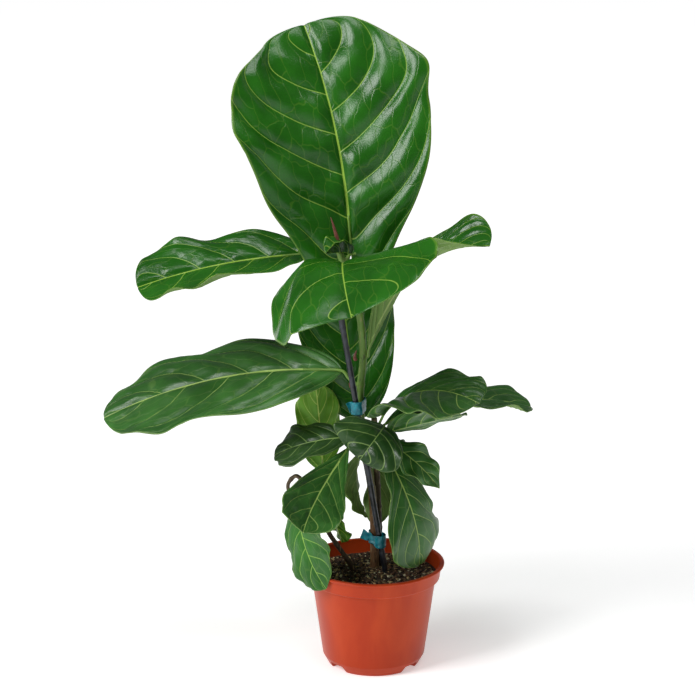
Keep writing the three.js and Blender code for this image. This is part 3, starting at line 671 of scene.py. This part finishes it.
# Stems: live wood with thin bark, ringed where leaves have fallen, browner with age towards the soil
stems = {
    "main_stem": {
        "radii": (4.6, 3.6), "flare": 1.1, "slot": "green_stem", "skin": "young",
        "points": [(1, 2, 62), (1, 2, 103), (-1.5, 2, 185), (-12, 3.6, 250), (-15, 2, 300), (-12, 2, 342),
                   (-16, 2, 390), (-27, 2, 425), (-37, 2, 456)],
        "nodes": [128, 163, 196, 226, 252, 277, 312, 342, 372, 402, 430, 447],
    },
    "side_stem": {
        "radii": (3.8, 3.2), "flare": 0.8, "slot": "woody_stem", "skin": "old",
        "points": [(13, 14, 62), (8, 13, 105), (5, 12, 160), (3, 9, 215), (1, 4, 250), (0, 2, 274)],
        "nodes": [124, 148, 172, 196, 218, 232, 243, 254, 264],
    },
    "left_stem": {
        "radii": (2.7, 1.9), "flare": 0.5, "slot": "woody_stem", "skin": "old",
        "points": [(-12, -4, 66), (-22, -8, 106), (-48, -12, 149), (-63, -12, 181), (-74, -10, 203),
                   (-83, -9, 213), (-91, -8, 206), (-92, -8, 198), (-88, -8, 192)],
        "nodes": [118, 137, 158, 178, 195, 209],
    },
}
barks = {
    "young": {"old": "#6B4A2C", "fresh": "#5F8230", "from": 150, "to": 300},
    "old": {"old": "#40301F", "fresh": "#5B5030", "from": 170, "to": 290},
}


def barkMaterial(name, bark):
    material, tree, shader = startMaterial(name)
    place = addNode(tree, "ShaderNodeTexCoord").outputs["Object"]
    height = addNode(tree, "ShaderNodeSeparateXYZ", {0: place}).outputs[2]
    grain = addNode(tree, "ShaderNodeMapping", {"Vector": place, "Scale": (1.0, 1.0, 0.22)}).outputs[0]
    grain = addNode(tree, "ShaderNodeTexNoise", {
        "Vector": grain, "Scale": 1000 / 2.381, "Detail": 5.0,
    }).outputs[0]
    age = addNode(tree, "ShaderNodeMath", {
        0: grain, 1: 60 * mm, 2: height,
    }, operation="MULTIPLY_ADD").outputs[0]
    age = addNode(tree, "ShaderNodeMapRange", {
        "Value": age, "From Min": (bark["from"] + 30) * mm, "From Max": (bark["to"] + 30) * mm,
    }, interpolation_type="SMOOTHSTEP").outputs[0]
    colour = addNode(tree, "ShaderNodeMix", {
        0: age, 6: toLinear(bark["old"]), 7: toLinear(bark["fresh"]),
    }, data_type="RGBA").outputs[2]
    # pale corky specks, then dark cracks
    for low, high, most, speck in ((0.56, 0.7, 0.6, "#A08A66"), (0.44, 0.3, 0.7, "#2A1D12")):
        share = addNode(tree, "ShaderNodeMapRange", {
            "Value": grain, "From Min": low, "From Max": high, "To Max": most,
        }, interpolation_type="SMOOTHSTEP").outputs[0]
        colour = addNode(tree, "ShaderNodeMix", {
            0: share, 6: colour, 7: toLinear(speck),
        }, data_type="RGBA").outputs[2]
    tree.links.new(colour, shader.inputs["Base Color"])
    dull = addNode(tree, "ShaderNodeMath", {0: age, 1: -0.2, 2: 0.72}, operation="MULTIPLY_ADD").outputs[0]
    tree.links.new(dull, shader.inputs["Roughness"])
    relief = addNode(tree, "ShaderNodeBump", {"Height": grain, "Strength": 0.6, "Distance": 0.6 * mm})
    tree.links.new(relief.outputs[0], shader.inputs["Normal"])
    return material


stemRows = 260
barkSkins = {name: barkMaterial(name + "Bark", bark) for name, bark in barks.items()}
for name, stem in stems.items():
    path = [p * mm for p in smoothPath([Vector(p) for p in stem["points"]], stemRows)]

    def stemRadius(share, angle):
        height = path[round(share * stemRows)].z / mm
        radius = stem["radii"][0] + (stem["radii"][1] - stem["radii"][0]) * share
        radius += stem["flare"] * math.exp(-((height - 96) / 14) ** 2)
        for node in stem["nodes"]:
            radius += 0.5 * math.exp(-((height - node) / 1.6) ** 2)
        radius += 0.25 * noise.noise(Vector((2 * math.cos(angle), 2 * math.sin(angle), height / 9)))
        return max(0.4, radius) * mm

    finishPiece(name + ".bark", sweep(path, stemRadius, 20), [barkSkins[stem["skin"]]], [name])
print("stems made")

# Garden stake: steel tube in a blue-black plastic skin with small moulded nubs, which gives it a satin shine
stake = {
    "foot": (29, -12, 8), "top": (-42, -12, 428), "radius": 3.1, "nub": 0.55, "pitch": 11, "rows": 620,
    "tipFrom": 421, "tipLong": 5,
}
stakeSkin = grainMaterial("coatedStakePlastic", {
    "scale": 1000 / 6.25, "detail": 5.0, "low": 0.42, "high": 0.72, "dark": "#12151B", "pale": "#2C323D",
    "dull": 0.24, "dullRise": 0.3,
})
foot, top = Vector(stake["foot"]), Vector(stake["top"])
path = [foot.lerp(top, i / stake["rows"]) * mm for i in range(stake["rows"] + 1)]


def stakeRadius(share, angle):
    along = share * (top - foot).length
    ring = along / stake["pitch"]
    turn = (angle + math.pi * (round(ring) % 2) / 4) % (math.pi / 2) - math.pi / 4
    nub = math.exp(-((ring - round(ring)) * stake["pitch"] / 1.3) ** 2) * math.exp(-(turn / 0.24) ** 2)
    past = max(0.0, along - stake["tipFrom"]) / stake["tipLong"]
    tip = math.sqrt(max(0.0, 1 - past ** 2))
    return (stake["radius"] + stake["nub"] * nub) * tip * mm


finishPiece("stake.skin", sweep(path, stakeRadius, 24), [stakeSkin], ["stake"])
print("stake made")

# Soft teal plant tape, thin stretchy vinyl: it wrinkles, and shines a little along the folds
tape = {"width": 14, "inside": 4.1, "slack": 2.1, "thickness": 0.5, "tail": 9.5, "around": 120, "rows": 12}
ties = {
    "upper_tie": {"height": 290, "tailAngle": 196, "tailDroop": 24, "seed": 2.0},
    "lower_tie": {"height": 141, "tailAngle": 176, "tailDroop": -20, "seed": 7.0},
}
tapeSkin = grainMaterial("tealVinylTape", {
    "scale": 1000 / 3.846, "detail": 3.0, "distortion": 0.6, "low": 0.35, "high": 0.7,
    "dark": "#056576", "pale": "#168C9B", "dull": 0.4, "bump": (0.5, 0.8),
})


# the middle of a path of points at a height
def pathAt(points, height):
    for a, b in zip(points, points[1:]):
        if min(a.z, b.z) <= height <= max(a.z, b.z):
            return a.lerp(b, (height - a.z) / (b.z - a.z))
    return points[-1]


stemPath = smoothPath([Vector(p) for p in stems["main_stem"]["points"]], stemRows)
for name, tie in ties.items():
    stemSpot, stakeSpot = pathAt(stemPath, tie["height"]), pathAt([foot, top], tie["height"])
    heading = math.atan2(stakeSpot.y - stemSpot.y, stakeSpot.x - stemSpot.x)
    span = (stakeSpot - stemSpot).to_2d().length
    radius = tape["inside"] + tape["slack"]
    outline = 2 * math.pi * radius + 2 * span
    mesh = bmesh.new()
    mesh.loops.layers.uv.new("UVMap")
    bmesh.ops.create_grid(mesh, x_segments=tape["around"], y_segments=tape["rows"], size=1, calc_uvs=True)
    for vert in mesh.verts:
        along = (vert.co.x + 1) / 2 * outline % outline
        across = vert.co.y
        if along < math.pi * radius:  # round the stem
            angle = heading + math.pi / 2 + along / radius
            spot = stemSpot.copy()
        elif along < math.pi * radius + span:
            angle = heading - math.pi / 2
            spot = stemSpot.lerp(stakeSpot, (along - math.pi * radius) / span)
        elif along < 2 * math.pi * radius + span:  # round the stake
            angle = heading - math.pi / 2 + (along - math.pi * radius - span) / radius
            spot = stakeSpot.copy()
        else:
            angle = heading + math.pi / 2
            spot = stakeSpot.lerp(stemSpot, (along - 2 * math.pi * radius - span) / span)
        turn = 2 * math.pi * along / outline
        wrinkle = noise.noise(Vector((3 * math.cos(turn), 3 * math.sin(turn), across * 1.6 + tie["seed"])))
        out = radius + 0.5 * wrinkle - 0.35 * abs(math.sin(across * 5 + 3 * wrinkle))
        pinch = 1 - 0.35 * math.exp(-((along / outline - 0.42) / 0.08) ** 2)
        lift = across * tape["width"] / 2 * pinch * (1 + 0.06 * wrinkle)
        around = Vector((out * math.cos(angle), out * math.sin(angle), lift))
        vert.co = (Vector((spot.x, spot.y, tie["height"])) + around) * mm
    bmesh.ops.remove_doubles(mesh, verts=mesh.verts, dist=1e-6)
    bmesh.ops.recalc_face_normals(mesh, faces=mesh.faces)
    band = finishPiece(name + ".band", mesh, [tapeSkin], [name])
    # the loose end stands away from the stem and curls
    mesh = bmesh.new()
    mesh.loops.layers.uv.new("UVMap")
    bmesh.ops.create_grid(mesh, x_segments=20, y_segments=10, size=1, calc_uvs=True)
    turn = math.radians(tie["tailAngle"])
    droop = math.radians(tie["tailDroop"])
    for vert in mesh.verts:
        share = (vert.co.x + 1) / 2
        reach = radius - 1.0 + share * tape["tail"]
        wide = vert.co.y * tape["width"] * 0.4 * (0.7 + 0.35 * share)
        curl = 1.3 * math.sin(share * 4.2 + tie["seed"]) * (0.4 + abs(vert.co.y))
        local = Vector((reach * math.cos(droop) + wide * math.sin(droop), curl,
                        wide * math.cos(droop) - (reach - radius) * math.sin(droop)))
        local.rotate(Matrix.Rotation(turn, 3, "Z"))
        vert.co = (Vector((stemSpot.x, stemSpot.y - 1.6, tie["height"])) + local) * mm
    tail = finishPiece(name + ".tail", mesh, [tapeSkin])
    for piece in (band, tail):
        wall = piece.modifiers.new("thickness", "SOLIDIFY")
        wall.thickness = tape["thickness"] * mm
        wall.offset = 0
print("ties made")

# Papery sheaths of the growing tip and old leaf bases: dry, red-brown, ridged lengthwise
sheaths = {
    "terminal_bud": {"radius": 2.7, "points": [(-37.4, 2, 457), (-39, 1, 468), (-42, 0, 480), (-46, -1, 493)]},
    "upper_stipule": {"radius": 1.9, "points": [(-20, 2.5, 338), (-20.5, 1, 343), (-19, -1, 350)]},
    "lower_stipule": {"radius": 1.9, "points": [(-20.5, -2, 303.5), (-24.5, -3.5, 309), (-27, -5, 315)]},
}
sheathSkin = grainMaterial("dryStipulePaper", {
    "along": "UV", "stretch": (2, 14, 1), "scale": 2.0, "detail": 4.0, "low": 0.3, "high": 0.7,
    "dark": "#4E1F1B", "pale": "#8E5446", "dull": 0.58, "bump": (0.6, 0.5),
})
for name, sheath in sheaths.items():
    path = [p * mm for p in smoothPath([Vector(p) for p in sheath["points"]], 60)]

    def sheathRadius(share, angle):
        swell = min(1.0, 0.72 + 1.9 * share) * (1 - share) ** 0.72
        ridge = 1 + 0.1 * math.sin(5 * angle + 6 * share) + 0.06 * math.sin(11 * angle - 4 * share)
        return (sheath["radius"] * swell * ridge + 0.25) * mm

    finishPiece(name + ".sheath", sweep(path, sheathRadius, 36), [sheathSkin], [name])
print("sheaths made")

# Nursery pot: injection-moulded polypropylene in terracotta orange, a semi-gloss skin with faint flow marks
pot = {
    "height": 114, "rimRadius": 76.5, "lipHeight": 2.6, "bandRadius": 73.5, "bandFootRadius": 71.5,
    "bandHeight": 17, "shoulderRadius": 67, "heelRadius": 55.5, "heelHeight": 11, "footRadius": 49.5,
    "wall": 1.6, "floor": 2, "floorRing": 44, "steps": 288,
}
drain = {"angles": (50, 130, 230, 310), "width": 20, "height": 7.5, "innerRadius": 38, "slant": 2.6}


def spinProfile(points, steps):
    mesh = bmesh.new()
    verts = [mesh.verts.new((r * mm, 0, z * mm)) for r, z in points]
    edges = [mesh.edges.new(pair) for pair in zip(verts, verts[1:])]
    bmesh.ops.spin(mesh, geom=verts + edges, cent=(0, 0, 0), axis=(0, 0, 1), angle=2 * math.pi, steps=steps,
                   use_merge=True, use_duplicate=False)
    bmesh.ops.remove_doubles(mesh, verts=mesh.verts, dist=1e-6)
    bmesh.ops.recalc_face_normals(mesh, faces=mesh.faces)
    return mesh


def roundProfile(points, radius, count=3):
    rounded = [points[0]]
    for a, b, c in zip(points, points[1:], points[2:]):
        a, b, c = Vector((*a, 0)), Vector((*b, 0)), Vector((*c, 0))
        reach = min(radius, (a - b).length * 0.45, (c - b).length * 0.45)
        start, end = b + (a - b).normalized() * reach, b + (c - b).normalized() * reach
        for i in range(count + 1):
            t = i / count
            spot = start * (1 - t) ** 2 + b * 2 * t * (1 - t) + end * t * t
            rounded.append((spot.x, spot.y))
    return rounded + [points[-1]]


shoulder = pot["height"] - pot["bandHeight"]
lipFoot = pot["height"] - pot["lipHeight"]
wall = pot["wall"]
notch = pot["footRadius"] + (pot["heelRadius"] - pot["footRadius"]) * drain["height"] / pot["heelHeight"]
outside = [(0, 0), (drain["innerRadius"] - 0.8, 0), (drain["innerRadius"], 0), (pot["floorRing"], 0),
           (pot["footRadius"], 0), (notch, drain["height"]), (pot["heelRadius"], pot["heelHeight"]),
           (pot["shoulderRadius"], shoulder - 2), (pot["bandFootRadius"], shoulder),
           (pot["bandRadius"], lipFoot), (pot["rimRadius"] - 0.4, lipFoot),
           (pot["rimRadius"], lipFoot + 0.8), (pot["rimRadius"], pot["height"] - 0.9),
           (pot["rimRadius"] - 0.9, pot["height"])]
inside = [(pot["bandRadius"] - wall, pot["height"]), (pot["bandRadius"] - wall, lipFoot),
          (pot["bandFootRadius"] - wall, shoulder + wall), (pot["shoulderRadius"] - wall, shoulder - 2 + wall),
          (pot["heelRadius"] - wall, pot["heelHeight"]), (pot["footRadius"] - wall, pot["floor"]),
          (pot["floorRing"], pot["floor"]), (drain["innerRadius"] - wall, pot["floor"]),
          (drain["innerRadius"] - 0.8 - wall, pot["floor"]), (0, pot["floor"])]
profile = roundProfile(outside + inside, 1.0)
mesh = spinProfile(profile, pot["steps"])
for vert in mesh.verts:
    radius = vert.co.to_2d().length / mm
    height = vert.co.z / mm
    if radius < 30 or height > 12:
        continue
    angle = math.degrees(math.atan2(vert.co.x, -vert.co.y)) % 360
    off = min(drain["angles"], key=lambda a: abs((angle - a + 180) % 360 - 180))
    lateral = abs(math.sin(math.radians(angle - off))) * radius
    under = height < pot["floor"] - 0.7 or radius > pot["footRadius"] - 0.4 + height * 0.4
    edge = drain["width"] / 2 + (0 if under else wall)
    share = min(1.0, max(0.0, (edge - lateral) / drain["slant"] + 0.5))
    if under and radius > drain["innerRadius"] - 0.5 and height < drain["height"]:
        raised = height + (drain["height"] - height) * share
        slide = (raised - height) * (pot["heelRadius"] - pot["footRadius"]) / pot["heelHeight"]
        grow = (radius + (slide if radius > pot["footRadius"] - 1.2 else 0)) / radius
        vert.co = Vector((vert.co.x * grow, vert.co.y * grow, raised * mm))
    elif not under and radius > drain["innerRadius"] - wall - 0.5 and height < drain["height"] + wall:
        vert.co.z = (height + (drain["height"] + wall - height) * share) * mm
potSkin, tree, shader = startMaterial("terracottaPolypropylene")
place = addNode(tree, "ShaderNodeTexCoord").outputs["Object"]
flow = addNode(tree, "ShaderNodeMapping", {"Vector": place, "Scale": (1.0, 1.0, 0.35)}).outputs[0]
# flow marks are about 38 mm across, and the moulded skin's grit 1.1 mm
flow = addNode(tree, "ShaderNodeTexNoise", {
    "Vector": flow, "Scale": 1000 / 38.46, "Detail": 5.0, "Distortion": 0.8,
})
speck = addNode(tree, "ShaderNodeTexNoise", {"Vector": place, "Scale": 1000 / 1.111, "Detail": 2.0}).outputs[0]
height = addNode(tree, "ShaderNodeSeparateXYZ", {0: place}).outputs[2]
share = addNode(tree, "ShaderNodeMapRange", {
    "Value": flow.outputs[0], "From Min": 0.3, "From Max": 0.7,
}, interpolation_type="SMOOTHSTEP").outputs[0]
colour = addNode(tree, "ShaderNodeMix", {
    0: share, 6: toLinear("#A93310"), 7: toLinear("#B84017"),
}, data_type="RGBA").outputs[2]
share = addNode(tree, "ShaderNodeMapRange", {
    "Value": speck, "From Min": 0.62, "From Max": 0.8, "To Max": 0.35,
}, interpolation_type="SMOOTHSTEP").outputs[0]
colour = addNode(tree, "ShaderNodeMix", {
    0: share, 6: colour, 7: toLinear("#7A2812"),
}, data_type="RGBA").outputs[2]
# a little soil dust, patchy and only near the foot
nearFoot = addNode(tree, "ShaderNodeMapRange", {
    "Value": height, "From Min": 2 * mm, "From Max": 30 * mm, "To Min": 1.0, "To Max": 0.0,
}, interpolation_type="SMOOTHSTEP").outputs[0]
patch = addNode(tree, "ShaderNodeMapRange", {
    "Value": flow.outputs[0], "From Min": 0.35, "From Max": 0.75, "To Max": 0.35,
}, interpolation_type="SMOOTHSTEP").outputs[0]
dust = addNode(tree, "ShaderNodeMath", {0: nearFoot, 1: patch}, operation="MULTIPLY").outputs[0]
colour = addNode(tree, "ShaderNodeMix", {
    0: dust, 6: colour, 7: toLinear("#8E3D22"),
}, data_type="RGBA").outputs[2]
tree.links.new(colour, shader.inputs["Base Color"])
dull = addNode(tree, "ShaderNodeMath", {
    0: flow.outputs[0], 1: 0.16, 2: 0.27,
}, operation="MULTIPLY_ADD").outputs[0]
tree.links.new(dull, shader.inputs["Roughness"])
shader.inputs["IOR"].default_value = 1.49
shader.inputs["Specular IOR Level"].default_value = 0.2
relief = addNode(tree, "ShaderNodeBump", {"Height": speck, "Strength": 0.12, "Distance": 0.3 * mm})
tree.links.new(relief.outputs[0], shader.inputs["Normal"])
finishPiece("pot.shell", mesh, [potSkin], ["pot"])
print("pot made")

# Potting mix: damp peat and bark, nearly black, with cream perlite grains and straw-coloured fibres
soil = {
    "profile": [(0, 105.6), (18, 105), (38, 102.2), (55, 100.6), (69.6, 98.8), (69.4, 97.6), (64.6, 94.6),
                (53.6, 15.4), (40, 12), (0, 12)],
    "relief": 1.7, "edge": 66, "wallRadius": 71, "rimHeight": 98.8, "ringStep": 1.4, "steps": 200,
}
mixes = {
    # damp peat: nearly black and crumbly, with no shine
    "dampPeat": {
        "dark": "#140C08", "pale": "#4A3322", "scale": 1000 / 3.125, "low": 0.38, "high": 0.72, "dull": 0.86,
    },
    # composted bark: dark brown crumbs with lighter broken faces
    "barkCrumbs": {
        "dark": "#1E120B", "pale": "#6B4A31", "scale": 1000 / 4.167, "low": 0.35, "high": 0.7, "dull": 0.8,
    },
    # expanded perlite: cream and chalky, stained by the peat
    "perliteGrains": {
        "dark": "#7E7258", "pale": "#DDD3B4", "scale": 1000 / 2.381, "low": 0.35, "high": 0.65, "dull": 0.9,
    },
    # straw: dry, pale and fibrous
    "strawFibres": {
        "dark": "#8A6B42", "pale": "#D2B988", "scale": 1000 / 3.333, "low": 0.3, "high": 0.7, "dull": 0.75,
    },
}
# grains lying on the soil: how many, their radii, how long they are for their width, and how high they lie
grains = {
    "crumbs": {"count": 1100, "sizes": (0.8, 3.2), "stretch": 1.3, "lift": 0.15, "skin": "barkCrumbs"},
    "perlite": {"count": 360, "sizes": (0.5, 2.5), "stretch": 1.15, "lift": 0.1, "skin": "perliteGrains"},
    "fibres": {"count": 200, "sizes": (0.35, 0.75), "stretch": 9, "lift": 0.9, "skin": "strawFibres"},
    "chips": {"count": 200, "sizes": (0.7, 2.0), "stretch": 1.9, "lift": 0.5, "skin": "strawFibres"},
}
rings = []
for (r0, z0), (r1, z1) in zip(soil["profile"], soil["profile"][1:]):
    count = 1 if z1 < 98.5 else max(1, round(abs(r1 - r0) / soil["ringStep"]))
    rings += [(r0 + (r1 - r0) * i / count, z0 + (z1 - z0) * i / count) for i in range(count)]
mesh = spinProfile(rings + [soil["profile"][-1]], soil["steps"])


def soilHeight(x, y):
    radius = math.hypot(x, y)
    points = soil["profile"]
    for (r0, z0), (r1, z1) in zip(points[:4], points[1:5]):
        if radius <= r1:
            base = z0 + (z1 - z0) * (radius - r0) / (r1 - r0)
            break
    else:
        base = soil["rimHeight"]
    lump = noise.noise(Vector((x / 9, y / 9, 1.3))) + 0.6 * noise.noise(Vector((x / 3.2, y / 3.2, 5.1)))
    return base + soil["relief"] * lump * min(1, (soil["wallRadius"] - radius) / 8)


for vert in mesh.verts:
    if vert.co.z > 98.2 * mm:
        vert.co.z = soilHeight(vert.co.x / mm, vert.co.y / mm) * mm

mixSkins = {
    name: grainMaterial(name, {"detail": 5.0, "bump": (0.7, 0.8), **mix}) for name, mix in mixes.items()
}
finishPiece("soil.mix", mesh, [mixSkins["dampPeat"]], ["soil"])

dice = random.Random(41)
for name, grain in grains.items():
    mesh = bmesh.new()
    smallest, largest = grain["sizes"]
    for i in range(grain["count"]):
        radius = soil["edge"] * math.sqrt(dice.random())
        turn = dice.uniform(0, 2 * math.pi)
        x, y = radius * math.cos(turn), radius * math.sin(turn)
        size = smallest + (largest - smallest) * dice.random() ** 2.2
        verts = bmesh.ops.create_icosphere(mesh, subdivisions=1, radius=size * mm)["verts"]
        tilt = Matrix.Rotation(dice.uniform(0, 2 * math.pi), 3, "Z")
        tilt = tilt @ Matrix.Rotation(dice.uniform(-0.5, 0.5), 3, "Y")
        scale = Matrix.Diagonal((
            grain["stretch"] * dice.uniform(0.7, 1.3), dice.uniform(0.7, 1.1), dice.uniform(0.5, 0.9),
        ))
        at = Vector((x, y, soilHeight(x, y) + size * grain["lift"])) * mm
        for vert in verts:
            knock = 1 + 0.3 * (dice.random() - 0.5)
            vert.co = at + tilt @ (scale @ (vert.co * knock))
    bmesh.ops.recalc_face_normals(mesh, faces=mesh.faces)
    finishPiece("soil." + name, mesh, [mixSkins[grain["skin"]]])
print("soil made")
